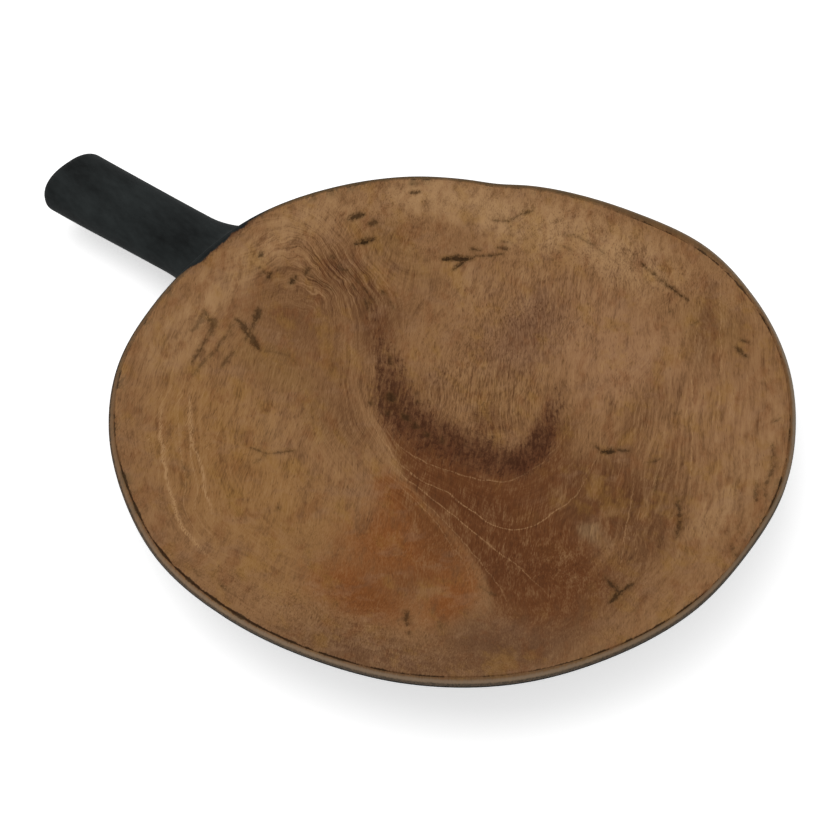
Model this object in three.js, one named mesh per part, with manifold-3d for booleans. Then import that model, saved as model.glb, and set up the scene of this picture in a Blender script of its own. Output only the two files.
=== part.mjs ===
// A round wooden serving platter with one straight handle.
// Millimetres, +Z up. The origin is the centre of the flat foot, on the surface the platter
// stands on, and the handle points along -X.

import * as THREE from "three";
import { mergeVertices } from "three/addons/utils/BufferGeometryUtils.js";
import Module from "manifold-3d";

// Driving dimensions

const RIM_RADIUS = 200;
const RIM_HEIGHT = 50;
const LIP_WIDTH = 6.5;
const LIP_STEP = 0.8;
const LIP_ROUNDING = 1.6;
const LIP_FACE = 2.2;
const FLOOR_THICKNESS = 15;
const FOOT_RADIUS = 94;
const FOOT_ROUNDING = 1.2;
const WELL_CURVE = 2.3;
const WALL_CURVE = 1.55;

// The hand-cut plan of the rim: its radius every 15 degrees, counterclockwise from +X.
const RIM_PLAN = [
  195.0, 197.0, 198.7, 202.0, 205.2, 208.2, 202.2, 198.2,
  195.0, 200.0, 202.2, 202.7, 199.3, 198.3, 200.2, 199.8,
  199.0, 199.9, 198.2, 197.6, 199.3, 199.8, 198.0, 197.0,
];

const GRIP_Y = 15.3;
const GRIP_Z = 31.5;
const GRIP_WIDTH = 50;
const GRIP_HEIGHT = 31;
const TIP_WIDTH = 53.5;
const TIP_HEIGHT = 34;
const TIP_X = -341;
const TIP_ROUNDING = 10;
const TIP_CROWN = 1.5;
const GRIP_SQUARENESS = 2.4;

const JOINT_X = -216;
const FLARE_START_X = -228;
const FLARE_END_X = -190;
const FLARE_WIDTH = 11;
const NECK_ROOT_X = -140;

const DOWEL_DIAMETER = 10;
const DOWEL_LENGTH = 60;
const DOWEL_SPACING = 22;
const DOWEL_CHAMFER = 1;
const FIT_GAP = 0.3;

const RIM_SEGMENTS = 96;
const GRIP_SEGMENTS = 40;
const DOWEL_SEGMENTS = 24;

// Finishes

const teak = new THREE.MeshStandardMaterial({ color: 0x8a6242, roughness: 0.7, metalness: 0 });
const blackStain = new THREE.MeshStandardMaterial({ color: 0x262727, roughness: 0.65, metalness: 0 });
const dowelWood = new THREE.MeshStandardMaterial({ color: 0xc9a878, roughness: 0.75, metalness: 0 });

// Solids

const wasm = await Module();
wasm.setup();

function toSolid(geometry) {
  const bare = geometry.clone();
  bare.deleteAttribute("normal");
  bare.deleteAttribute("uv");
  const merged = mergeVertices(bare, 1e-3);
  return new wasm.Manifold(new wasm.Mesh({
    numProp: 3,
    vertProperties: new Float32Array(merged.attributes.position.array),
    triVerts: new Uint32Array(merged.index.array),
  }));
}

function toGeometry(solid) {
  const mesh = solid.getMesh();
  const geometry = new THREE.BufferGeometry();
  geometry.setAttribute("position", new THREE.BufferAttribute(mesh.vertProperties, 3));
  geometry.setIndex(new THREE.BufferAttribute(mesh.triVerts, 1));
  geometry.computeVertexNormals();
  return geometry;
}

function namedMesh(name, geometry, material) {
  const mesh = new THREE.Mesh(geometry, material);
  mesh.name = name;
  return mesh;
}

// The plan radius at an angle, on a smooth closed curve through RIM_PLAN.
function rimPlanRadius(angle) {
  const count = RIM_PLAN.length;
  const place = ((angle / (2 * Math.PI)) * count + count) % count;
  const start = Math.floor(place);
  const t = place - start;
  const at = (offset) => RIM_PLAN[(start + offset + count) % count];
  const slopeIn = (at(1) - at(-1)) / 2;
  const slopeOut = (at(2) - at(0)) / 2;
  const t2 = t * t;
  const t3 = t2 * t;
  return at(0) * (2 * t3 - 3 * t2 + 1) + slopeIn * (t3 - 2 * t2 + t)
    + at(1) * (3 * t2 - 2 * t3) + slopeOut * (t3 - t2);
}

// A round profile turned about +Z, then drawn out to the rim's hand-cut plan. The foot stays
// almost round, and the plan comes in with the square of the radius.
function carvedTurning(profile) {
  const geometry = new THREE.LatheGeometry(profile, RIM_SEGMENTS);
  geometry.rotateX(Math.PI / 2);
  const position = geometry.attributes.position;
  for (let i = 0; i < position.count; i += 1) {
    const x = position.getX(i);
    const y = position.getY(i);
    const share = Math.min((x * x + y * y) / (RIM_RADIUS * RIM_RADIUS), 1);
    const stretch = 1 + (rimPlanRadius(Math.atan2(y, x)) / RIM_RADIUS - 1) * share;
    position.setXY(i, x * stretch, y * stretch);
  }
  return geometry;
}

// Points of a quarter round from one direction to another, about a centre.
function arcPoints(centreR, centreZ, radius, fromAngle, toAngle, steps) {
  const points = [];
  for (let i = 0; i <= steps; i += 1) {
    const angle = fromAngle + ((toAngle - fromAngle) * i) / steps;
    points.push(new THREE.Vector2(centreR + radius * Math.cos(angle), centreZ + radius * Math.sin(angle)));
  }
  return points;
}

// Platter dish

const WELL_RADIUS = RIM_RADIUS - LIP_WIDTH;
const WELL_EDGE_HEIGHT = RIM_HEIGHT - LIP_STEP;
const WALL_TOP = RIM_HEIGHT - LIP_ROUNDING - LIP_FACE;

function wellHeight(radius) {
  const rise = WELL_EDGE_HEIGHT - FLOOR_THICKNESS;
  return FLOOR_THICKNESS + rise * (radius / WELL_RADIUS) ** WELL_CURVE;
}

// The outside of the dish: flat foot, swept wall, short upright face and rounded lip.
function outsideProfile() {
  const wallSteps = 14;
  const wallStart = FOOT_RADIUS + FOOT_ROUNDING;
  const points = [new THREE.Vector2(0, 0), new THREE.Vector2(FOOT_RADIUS, 0)];
  for (let i = 0; i <= wallSteps; i += 1) {
    const share = i / wallSteps;
    const height = FOOT_ROUNDING / 2 + (WALL_TOP - FOOT_ROUNDING / 2) * share ** WALL_CURVE;
    points.push(new THREE.Vector2(wallStart + (RIM_RADIUS - wallStart) * share, height));
  }
  points.push(...arcPoints(RIM_RADIUS - LIP_ROUNDING, RIM_HEIGHT - LIP_ROUNDING, LIP_ROUNDING,
    0, Math.PI / 2, 4));
  points.push(new THREE.Vector2(0, RIM_HEIGHT));
  return points;
}

// The hollow: a shallow curve up to the small step inside the lip, and on past the rim.
function wellProfile() {
  const steps = 16;
  const clearance = 5;
  const points = [];
  for (let i = 0; i <= steps; i += 1) {
    const radius = (WELL_RADIUS * i) / steps;
    points.push(new THREE.Vector2(radius, wellHeight(radius)));
  }
  points.push(new THREE.Vector2(WELL_RADIUS, RIM_HEIGHT + clearance));
  points.push(new THREE.Vector2(0, RIM_HEIGHT + clearance));
  return points;
}

// Handle and neck share one lofted section, so they read as one bar across their joint.

function sectionRing(x, halfWidth, halfHeight) {
  const ring = [];
  const power = 2 / GRIP_SQUARENESS;
  for (let i = 0; i < GRIP_SEGMENTS; i += 1) {
    const angle = (2 * Math.PI * i) / GRIP_SEGMENTS;
    const c = Math.cos(angle);
    const s = Math.sin(angle);
    ring.push(new THREE.Vector3(x, GRIP_Y + halfWidth * Math.sign(c) * Math.abs(c) ** power,
      GRIP_Z + halfHeight * Math.sign(s) * Math.abs(s) ** power));
  }
  return ring;
}

// Rings in order along -X, closed by a fan at each end.
function loft(rings, startCentre, endCentre) {
  const vertices = rings.flat();
  const faces = [];
  const count = GRIP_SEGMENTS;
  for (let row = 0; row < rings.length - 1; row += 1) {
    for (let i = 0; i < count; i += 1) {
      const next = (i + 1) % count;
      const a = row * count + i;
      const b = row * count + next;
      faces.push(a, b + count, b, a, a + count, b + count);
    }
  }
  const first = vertices.push(startCentre) - 1;
  const last = vertices.push(endCentre) - 1;
  const lastRow = (rings.length - 1) * count;
  for (let i = 0; i < count; i += 1) {
    const next = (i + 1) % count;
    faces.push(first, i, next);
    faces.push(last, lastRow + next, lastRow + i);
  }
  const geometry = new THREE.BufferGeometry();
  geometry.setAttribute("position",
    new THREE.Float32BufferAttribute(vertices.flatMap((v) => [v.x, v.y, v.z]), 3));
  geometry.setIndex(faces);
  return geometry;
}

// Half width and half height of the bar at a place along X: even in the middle, swelling
// towards the tip and spreading in a hollow curve towards the rim.
function gripHalfSizes(x) {
  const swell = Math.max((JOINT_X - x) / (JOINT_X - TIP_X), 0) ** 1.5;
  const spread = Math.min(Math.max((x - FLARE_START_X) / (FLARE_END_X - FLARE_START_X), 0), 1);
  return {
    halfWidth: (GRIP_WIDTH + (TIP_WIDTH - GRIP_WIDTH) * swell) / 2 + FLARE_WIDTH * spread * spread,
    halfHeight: (GRIP_HEIGHT + (TIP_HEIGHT - GRIP_HEIGHT) * swell) / 2,
  };
}

// The neck that is carved with the dish: the bar runs on under the rim and dies into the wall
// as a rounded nose.
function neckGeometry() {
  const barSteps = 5;
  const noseSteps = 8;
  const noseTipScale = 0.12;
  const rings = [];
  for (let i = 0; i < noseSteps; i += 1) {
    const angle = Math.asin(noseTipScale) + (Math.PI / 2 - Math.asin(noseTipScale)) * (i / noseSteps);
    const x = FLARE_END_X + (NECK_ROOT_X - FLARE_END_X) * Math.cos(angle);
    const { halfWidth, halfHeight } = gripHalfSizes(FLARE_END_X);
    rings.push(sectionRing(x, halfWidth * Math.sin(angle), halfHeight * Math.sin(angle) ** 0.5));
  }
  for (let i = 0; i <= barSteps; i += 1) {
    const x = FLARE_END_X + (JOINT_X - FLARE_END_X) * (i / barSteps);
    const { halfWidth, halfHeight } = gripHalfSizes(x);
    rings.push(sectionRing(x, halfWidth, halfHeight));
  }
  return loft(rings, new THREE.Vector3(rings[0][0].x, GRIP_Y, GRIP_Z),
    new THREE.Vector3(JOINT_X, GRIP_Y, GRIP_Z));
}

function handleGeometry() {
  const bodySteps = 9;
  const roundSteps = 5;
  const tipShrink = 0.3;
  const rings = [];
  const startX = JOINT_X - FIT_GAP;
  const roundX = TIP_X + TIP_ROUNDING;
  for (let i = 0; i <= bodySteps; i += 1) {
    const x = startX + (roundX - startX) * (i / bodySteps);
    const { halfWidth, halfHeight } = gripHalfSizes(x);
    rings.push(sectionRing(x, halfWidth, halfHeight));
  }
  for (let i = 1; i <= roundSteps; i += 1) {
    const angle = (Math.PI / 2) * (i / roundSteps);
    const x = roundX - (TIP_ROUNDING - TIP_CROWN) * Math.sin(angle);
    const { halfWidth, halfHeight } = gripHalfSizes(x);
    const shrink = 1 - tipShrink * (1 - Math.cos(angle));
    rings.push(sectionRing(x, halfWidth * shrink, halfHeight * shrink));
  }
  return loft(rings, new THREE.Vector3(startX, GRIP_Y, GRIP_Z), new THREE.Vector3(TIP_X, GRIP_Y, GRIP_Z));
}

// Dowels

const DOWEL_SIDES = { near: GRIP_Y - DOWEL_SPACING / 2, far: GRIP_Y + DOWEL_SPACING / 2 };

// A round bar along X with its ends chamfered, centred on the joint.
function dowelGeometry(radius, length, chamfer) {
  const half = length / 2;
  const profile = [
    new THREE.Vector2(0, -half),
    new THREE.Vector2(radius - chamfer, -half),
    new THREE.Vector2(radius, -half + chamfer),
    new THREE.Vector2(radius, half - chamfer),
    new THREE.Vector2(radius - chamfer, half),
    new THREE.Vector2(0, half),
  ];
  const geometry = new THREE.LatheGeometry(profile, DOWEL_SEGMENTS);
  geometry.rotateZ(Math.PI / 2);
  return geometry;
}

// Both blind holes in one bar: a gap all round and a little glue room past each end.
function dowelHoles() {
  const glueRoom = 1;
  const radius = DOWEL_DIAMETER / 2 + FIT_GAP;
  const bar = dowelGeometry(radius, DOWEL_LENGTH + 2 * glueRoom, DOWEL_CHAMFER);
  const [near, far] = Object.values(DOWEL_SIDES).map((y) => {
    const hole = bar.clone();
    hole.translate(JOINT_X - FIT_GAP / 2, y, GRIP_Z);
    return toSolid(hole);
  });
  return near.add(far);
}

// Assembly

const holes = dowelHoles();
const dish = toSolid(carvedTurning(outsideProfile()))
  .add(toSolid(neckGeometry()))
  .subtract(toSolid(carvedTurning(wellProfile())))
  .subtract(holes);
const handle = toSolid(handleGeometry()).subtract(holes);

const platter = new THREE.Group();
platter.add(namedMesh("platter_dish", toGeometry(dish), teak));
platter.add(namedMesh("handle", toGeometry(handle), blackStain));
for (const [side, y] of Object.entries(DOWEL_SIDES)) {
  const dowel = namedMesh(`handle_dowel_${side}`,
    dowelGeometry(DOWEL_DIAMETER / 2, DOWEL_LENGTH, DOWEL_CHAMFER), dowelWood);
  dowel.position.set(JOINT_X - FIT_GAP / 2, y, GRIP_Z);
  platter.add(dowel);
}

export default platter;
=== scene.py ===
# A round wooden serving platter with one black handle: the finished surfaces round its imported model.
# Forms and the wood's figure are worked out in millimetres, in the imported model's frame, with +X to the
# right in plan and the handle along -X. Meshes are turned to metres when they are made.

import math

import bmesh
import bpy
import numpy as np
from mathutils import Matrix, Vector, kdtree


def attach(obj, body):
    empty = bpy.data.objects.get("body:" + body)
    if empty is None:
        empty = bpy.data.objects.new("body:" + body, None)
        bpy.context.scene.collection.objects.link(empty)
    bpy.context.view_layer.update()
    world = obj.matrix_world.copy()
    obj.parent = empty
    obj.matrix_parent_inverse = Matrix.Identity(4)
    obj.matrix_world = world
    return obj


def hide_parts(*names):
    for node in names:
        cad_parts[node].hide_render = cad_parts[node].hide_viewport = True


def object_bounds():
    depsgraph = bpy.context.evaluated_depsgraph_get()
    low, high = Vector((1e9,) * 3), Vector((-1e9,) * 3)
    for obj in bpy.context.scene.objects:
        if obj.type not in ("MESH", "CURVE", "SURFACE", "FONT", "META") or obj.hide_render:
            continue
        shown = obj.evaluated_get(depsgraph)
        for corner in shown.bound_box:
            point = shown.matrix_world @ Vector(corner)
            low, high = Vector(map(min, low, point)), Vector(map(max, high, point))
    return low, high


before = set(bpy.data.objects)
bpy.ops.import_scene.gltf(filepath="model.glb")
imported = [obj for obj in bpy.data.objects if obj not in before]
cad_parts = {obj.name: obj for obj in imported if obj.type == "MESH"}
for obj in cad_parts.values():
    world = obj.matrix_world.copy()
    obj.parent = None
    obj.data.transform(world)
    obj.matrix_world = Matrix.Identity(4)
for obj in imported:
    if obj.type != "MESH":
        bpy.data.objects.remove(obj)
packed_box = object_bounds()

MM = 0.001
BODY = "root"

# Driving dimensions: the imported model's, save for the grip's tip and far flare, the crease and the rim's
# dent, which follow the photo more closely here

RIM_RADIUS = 200
RIM_HEIGHT = 50
LIP_WIDTH = 6.5
LIP_STEP = 0.8
LIP_ROUNDING = 1.6
LIP_FACE = 2.2
FLOOR_THICKNESS = 15
FOOT_RADIUS = 94
FOOT_ROUNDING = 1.2
WELL_CURVE = 2.3
WALL_CURVE = 1.55

# The rim's hand-cut plan: its radius every 15 degrees, counterclockwise from +X.
RIM_PLAN = [
    195.0, 197.0, 198.7, 202.0, 205.2, 208.2, 202.2, 198.2,
    195.0, 200.0, 202.2, 202.7, 199.3, 198.3, 200.2, 199.8,
    199.0, 199.9, 198.2, 197.6, 199.3, 199.8, 198.0, 197.0,
]

# A shallow dent in the rim's far side: its angle, its depth and how far it spreads, angles in degrees.
DENT_ANGLE = 117
DENT_DEPTH = 1.8
DENT_SPREAD = 4.5

GRIP_Y = 15.3
GRIP_Z = 31.5
GRIP_WIDTH = 50
GRIP_HEIGHT = 31
TIP_WIDTH = 53.5
TIP_HEIGHT = 34
TIP_X = -341
TIP_ROUNDING = 8
TIP_CROWN = 1.5
GRIP_SQUARENESS = 2.4
TIP_RISE = 0.15
TIP_RISE_LENGTH = 50
JOINT_X = -216
FLARE_START_X = -228
FLARE_END_X = -190
FLARE_WIDTH = 11
FAR_FLARE_WIDTH = 7
NECK_ROOT_X = -140
FIT_GAP = 0.3
DOWEL_DIAMETER = 10
DOWEL_LENGTH = 60
DOWEL_SPACING = 22
GLUE_ROOM = 1
HAIRLINE = 0.03

# The crease cut inside the lip: how far in from the edge every 15 degrees, and the arcs, in degrees,
# where it is still deep.
CREASE_INSET = [
    2.8, 3.4, 3.4, 3.0, 3.5, 5.4, 5.6, 4.8,
    4.0, 3.6, 3.4, 3.4, 3.6, 3.2, 3.2, 3.6,
    4.1, 3.8, 3.8, 3.6, 3.9, 4.3, 3.5, 3.2,
]
DEEP_CREASE_ARCS = [(10, 54), (78, 92), (232, 316), (329, 348)]
CREASE_DEPTH = 0.9
WORN_CREASE_DEPTH = 0.3
CREASE_HALF_WIDTH = 0.75

FINE_STEP = 1.6
COARSE_STEP = 3.2
BAR_POINTS = 96
BAR_STEP = 2.2

# Shared formulas


def smooth_step(low, high, value):
    share = np.clip((value - low) / (high - low), 0, 1)
    return share * share * (3 - 2 * share)


def smooth_between(before, here, after, beyond, t):
    """The value a share t of the way from here to after, on a smooth curve through all four."""
    slope_here = (after - before) / 2
    slope_after = (beyond - here) / 2
    return (here * (2 * t**3 - 3 * t**2 + 1) + slope_here * (t**3 - 2 * t**2 + t)
            + after * (3 * t**2 - 2 * t**3) + slope_after * (t**3 - t**2))


def even_share(value, start, end):
    """0 at start and before it, 1 at end and past it, and evenly in between."""
    return min(max((value - start) / (end - start), 0), 1)


def closed_curve(values, angle):
    """A smooth closed curve through evenly spaced values, read at angles in radians."""
    values = np.asarray(values, float)
    count = len(values)
    place = (angle / (2 * math.pi) * count) % count
    start = np.floor(place).astype(int)
    return smooth_between(*(values[(start + k) % count] for k in (-1, 0, 1, 2)), place - start)


def line_distance(x, y, line):
    """How far each place is from a line of places, and its share of the way along it."""
    distance = np.full(len(x), np.inf)
    along = np.zeros(len(x))
    lengths = [math.dist(a, b) for a, b in zip(line, line[1:])]
    passed = 0
    for (start, end), length in zip(zip(line, line[1:]), lengths):
        step = np.subtract(end, start)
        share = np.clip(((x - start[0]) * step[0] + (y - start[1]) * step[1]) / length**2, 0, 1)
        here = np.hypot(x - start[0] - share * step[0], y - start[1] - share * step[1])
        nearer = here < distance
        distance = np.where(nearer, here, distance)
        along = np.where(nearer, (passed + share * length) / sum(lengths), along)
        passed += length
    return distance, along


def near_line(x, y, line, reach):
    """True for the places in or within reach of the box that a line of places fills."""
    low = np.min(line, axis=0) - reach
    high = np.max(line, axis=0) + reach
    return (x > low[0]) & (x < high[0]) & (y > low[1]) & (y < high[1])


def rim_plan(angle):
    """The rim's radius at each angle, with its dent."""
    away = (np.degrees(angle) - DENT_ANGLE + 180) % 360 - 180
    return closed_curve(RIM_PLAN, angle) - DENT_DEPTH * np.exp(-((away / DENT_SPREAD) ** 2))


def turned(radius, height, angle):
    """Points of the turned form, drawn out to the rim's hand-cut plan."""
    share = np.minimum((radius / RIM_RADIUS) ** 2, 1)
    stretch = 1 + (rim_plan(angle) / RIM_RADIUS - 1) * share
    points = np.empty((len(angle), 3))
    points[:, 0] = radius * stretch * np.cos(angle)
    points[:, 1] = radius * stretch * np.sin(angle)
    points[:, 2] = height
    return points


def turned_radius(x, y):
    """The radius that a place in plan had before it was drawn out to the rim's plan."""
    rounds = 6
    drawn = np.hypot(x, y)
    plan = rim_plan(np.arctan2(y, x)) / RIM_RADIUS
    radius = drawn
    for _ in range(rounds):
        share = np.minimum((radius / RIM_RADIUS) ** 2, 1)
        radius = drawn / (1 + (plan - 1) * share)
    return radius


def crease_radius(angle):
    return RIM_RADIUS - closed_curve(CREASE_INSET, angle)


def crease_depth(angle):
    """How deep the crease is: cut cleanly along its deep arcs and rubbed shallow elsewhere."""
    degrees = np.degrees(angle) % 360
    deep = np.zeros_like(degrees)
    fade = 5
    for start, end in DEEP_CREASE_ARCS:
        inside = smooth_step(start - fade, start, degrees) * (1 - smooth_step(end, end + fade, degrees))
        deep = np.maximum(deep, inside)
    return WORN_CREASE_DEPTH + (CREASE_DEPTH - WORN_CREASE_DEPTH) * deep


WELL_RADIUS = RIM_RADIUS - LIP_WIDTH
WELL_EDGE_HEIGHT = RIM_HEIGHT - LIP_STEP
WALL_START = FOOT_RADIUS + FOOT_ROUNDING
WALL_TOP = RIM_HEIGHT - LIP_ROUNDING - LIP_FACE


def well_edge(angle):
    return crease_radius(angle) - CREASE_HALF_WIDTH


def well_height(radius, angle):
    """The hollow's height, reaching its full rise at the crease."""
    share = radius / well_edge(angle)
    return FLOOR_THICKNESS + (WELL_EDGE_HEIGHT - FLOOR_THICKNESS) * share**WELL_CURVE


def wall_height(radius):
    share = np.clip((radius - WALL_START) / (RIM_RADIUS - WALL_START), 0, 1)
    return FOOT_ROUNDING / 2 + (WALL_TOP - FOOT_ROUNDING / 2) * share**WALL_CURVE


# Meshes


def make_object(name, points, faces):
    """A smooth-shaded mesh object from points in millimetres."""
    mesh = bpy.data.meshes.new(name)
    mesh.from_pydata((np.asarray(points) * MM).tolist(), [], faces)
    mesh.update()
    mesh.shade_smooth()
    made = bpy.data.objects.new(name, mesh)
    bpy.context.scene.collection.objects.link(made)
    return made


def mesh_points(mesh):
    """A mesh's points in millimetres."""
    points = np.empty(len(mesh.vertices) * 3, np.float32)
    mesh.vertices.foreach_get("co", points)
    return points.reshape(-1, 3).astype(float) / MM


def set_mesh_points(mesh, points):
    mesh.vertices.foreach_set("co", (points * MM).astype(np.float32).ravel())
    mesh.update()


def keep_to_packed_box(mesh):
    low, high = (np.array(corner) / MM for corner in packed_box)
    set_mesh_points(mesh, np.clip(mesh_points(mesh), low, high))


def mesh_edges(mesh):
    edges = np.empty(len(mesh.edges) * 2, np.int32)
    mesh.edges.foreach_get("vertices", edges)
    return edges.reshape(-1, 2)


def even_angles(count):
    return np.arange(count) * (2 * math.pi / count)


def ring_count(radius, step):
    """How many points go round a ring, in lots, so that neighbouring rings often match."""
    lot = 24
    return lot * max(round(2 * math.pi * radius / step / lot), 1)


def stitch(start_a, count_a, start_b, count_b):
    """Faces between two rings of points, whatever their counts."""
    faces = []
    if count_a == count_b:
        for i in range(count_a):
            following = (i + 1) % count_a
            faces.append((start_a + i, start_a + following, start_b + following, start_b + i))
        return faces
    i = 0
    j = 0
    while i < count_a or j < count_b:
        here_a = start_a + i % count_a
        here_b = start_b + j % count_b
        if (i + 1) * count_b <= (j + 1) * count_a:
            faces.append((here_a, start_a + (i + 1) % count_a, here_b))
            i += 1
        else:
            faces.append((here_a, start_b + (j + 1) % count_b, here_b))
            j += 1
    return faces


def skin(rings, first_centre, last_centre):
    """One closed body through a run of rings, with a fan at each end."""
    starts = np.cumsum([0] + [len(ring) for ring in rings])
    faces = []
    for k in range(len(rings) - 1):
        faces += stitch(starts[k], len(rings[k]), starts[k + 1], len(rings[k + 1]))
    first = int(starts[-1])
    last = first + 1
    for i in range(len(rings[0])):
        faces.append((first, (i + 1) % len(rings[0]), i))
    for i in range(len(rings[-1])):
        faces.append((last, starts[-2] + i, starts[-2] + (i + 1) % len(rings[-1])))
    points = np.vstack(rings + [np.array([first_centre, last_centre])])
    return points, [tuple(int(k) for k in face) for face in faces]


def boolean(target, cutter, operation):
    """Joins cutter to target or cuts it out of target, and removes cutter."""
    modifier = target.modifiers.new(operation, "BOOLEAN")
    modifier.operation = operation
    modifier.solver = "MANIFOLD"
    modifier.object = cutter
    graph = bpy.context.evaluated_depsgraph_get()
    result = bpy.data.meshes.new_from_object(target.evaluated_get(graph))
    target.modifiers.clear()
    target.data = result
    bpy.data.objects.remove(cutter)


# Dish


def dish_rings():
    """Rings from the middle of the foot out, up the wall, over the lip, and down the well."""
    rings = []
    for radius in np.arange(COARSE_STEP, FOOT_RADIUS, COARSE_STEP * 2):
        rings.append(turned(radius, 0, even_angles(ring_count(radius, COARSE_STEP * 2))))
    rings.append(turned(FOOT_RADIUS, 0, even_angles(ring_count(FOOT_RADIUS, COARSE_STEP))))
    wall_steps = round((RIM_RADIUS - WALL_START) / COARSE_STEP)
    for step in range(wall_steps):
        radius = WALL_START + (RIM_RADIUS - WALL_START) * step / wall_steps
        rings.append(turned(radius, wall_height(radius), even_angles(ring_count(radius, COARSE_STEP))))
    rings += lip_rings()
    rings += well_rings()
    return rings


def lip_rings():
    """The upright face, the rounded edge, the flat lip and the crease inside it."""
    around = even_angles(ring_count(RIM_RADIUS, FINE_STEP))
    rings = []
    for height in (WALL_TOP, WALL_TOP + LIP_FACE / 2):
        rings.append(turned(RIM_RADIUS, height, around))
    rounding_steps = 5
    for step in range(rounding_steps + 1):
        turn = math.pi / 2 * step / rounding_steps
        radius = RIM_RADIUS - LIP_ROUNDING * (1 - math.cos(turn))
        rings.append(turned(radius, RIM_HEIGHT - LIP_ROUNDING * (1 - math.sin(turn)), around))
    flat_steps = 3
    flat_start = RIM_RADIUS - LIP_ROUNDING
    flat_end = crease_radius(around) + CREASE_HALF_WIDTH
    for step in range(1, flat_steps + 1):
        radius = flat_start + (flat_end - flat_start) * step / flat_steps
        rings.append(turned(radius, RIM_HEIGHT, around))
    crease_steps = 6
    for step in range(1, crease_steps + 1):
        across = step / crease_steps
        radius = crease_radius(around) + CREASE_HALF_WIDTH * (1 - 2 * across)
        cut = crease_depth(around) * math.sin(math.pi * across) ** 1.5
        rings.append(turned(radius, RIM_HEIGHT - LIP_STEP * across - cut, around))
    return rings


def well_rings():
    """The hollow, from the crease's inner edge to its middle."""
    even_radius = 186
    blend_steps = 5
    rings = []
    for step in range(1, blend_steps + 1):
        around = even_angles(ring_count(RIM_RADIUS, FINE_STEP))
        share = step / blend_steps
        radius = well_edge(around) * (1 - share) + even_radius * share
        rings.append(turned(radius, well_height(radius, around), around))
    for radius in np.arange(even_radius - FINE_STEP, FINE_STEP / 2, -FINE_STEP):
        around = even_angles(ring_count(radius, FINE_STEP))
        rings.append(turned(radius, well_height(radius, around), around))
    return rings


def grip_half_sizes(x):
    """Half width and half height of the bar: swelling to the tip, spreading to the rim."""
    swell = even_share(x, JOINT_X, TIP_X) ** 1.5
    spread = even_share(x, FLARE_START_X, FLARE_END_X)
    half_width = (GRIP_WIDTH + (TIP_WIDTH - GRIP_WIDTH) * swell) / 2 + FLARE_WIDTH * spread**2
    half_height = (GRIP_HEIGHT + (TIP_HEIGHT - GRIP_HEIGHT) * swell) / 2
    return half_width, half_height


def bar_ring(x, half_width, half_height, upper_share=1):
    """A rounded section of the bar, turning so that a run of them along -X faces out."""
    angle = even_angles(BAR_POINTS)
    rise = TIP_RISE * even_share(x, TIP_X + TIP_RISE_LENGTH, TIP_X) ** 2
    far_flare = FAR_FLARE_WIDTH * even_share(x, FLARE_START_X, FLARE_END_X) ** 2.5
    across, upright = (np.sign(wave) * np.abs(wave) ** (2 / GRIP_SQUARENESS)
                       for wave in (np.cos(angle), np.sin(angle)))
    upright = np.where(upright > 0, upright * upper_share, upright * (1 - rise))
    points = np.empty((BAR_POINTS, 3))
    points[:, 0] = x
    points[:, 1] = GRIP_Y - half_width * across + far_flare * np.maximum(-across, 0)
    points[:, 2] = GRIP_Z + half_height * upright
    return points


def neck():
    """The bar carved with the dish. Its upper half sinks as it runs in, to stay under the well."""
    nose_steps = 22
    nose_tip_scale = 0.12
    sink_end_x = -152
    sink_length = 45
    least_upper = 0.05
    rings = []
    first_turn = math.asin(nose_tip_scale)
    for step in range(nose_steps):
        turn = first_turn + (math.pi / 2 - first_turn) * step / nose_steps
        x = FLARE_END_X + (NECK_ROOT_X - FLARE_END_X) * math.cos(turn)
        half_width, half_height = grip_half_sizes(FLARE_END_X)
        upper = min(max((sink_end_x - x) / sink_length, least_upper), 1)
        rings.append(bar_ring(x, half_width * math.sin(turn), half_height * math.sin(turn) ** 0.5, upper))
    bar_steps = round((FLARE_END_X - JOINT_X) / BAR_STEP)
    for step in range(bar_steps + 1):
        x = FLARE_END_X + (JOINT_X - FLARE_END_X) * step / bar_steps
        rings.append(bar_ring(x, *grip_half_sizes(x), min((sink_end_x - x) / sink_length, 1)))
    points, faces = skin(rings, (rings[0][0, 0], GRIP_Y, GRIP_Z), (JOINT_X, GRIP_Y, GRIP_Z))
    return make_object("neck", points, faces)


def dowel_hole(y):
    """The blind hole for one dowel, reaching past both its ends."""
    hole_points = 32
    around = even_angles(hole_points)
    radius = DOWEL_DIAMETER / 2 + FIT_GAP
    middle_x = JOINT_X - FIT_GAP / 2
    half_length = DOWEL_LENGTH / 2 + GLUE_ROOM
    rings = []
    for x in (middle_x + half_length, middle_x - half_length):
        ring = np.empty((hole_points, 3))
        ring[:, 0] = x
        ring[:, 1] = y - radius * np.cos(around)
        ring[:, 2] = GRIP_Z + radius * np.sin(around)
        rings.append(ring)
    points, faces = skin(rings, (middle_x + half_length, y, GRIP_Z), (middle_x - half_length, y, GRIP_Z))
    return make_object("dowel_hole", points, faces)


DOWEL_ROWS = (GRIP_Y - DOWEL_SPACING / 2, GRIP_Y + DOWEL_SPACING / 2)


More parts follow.
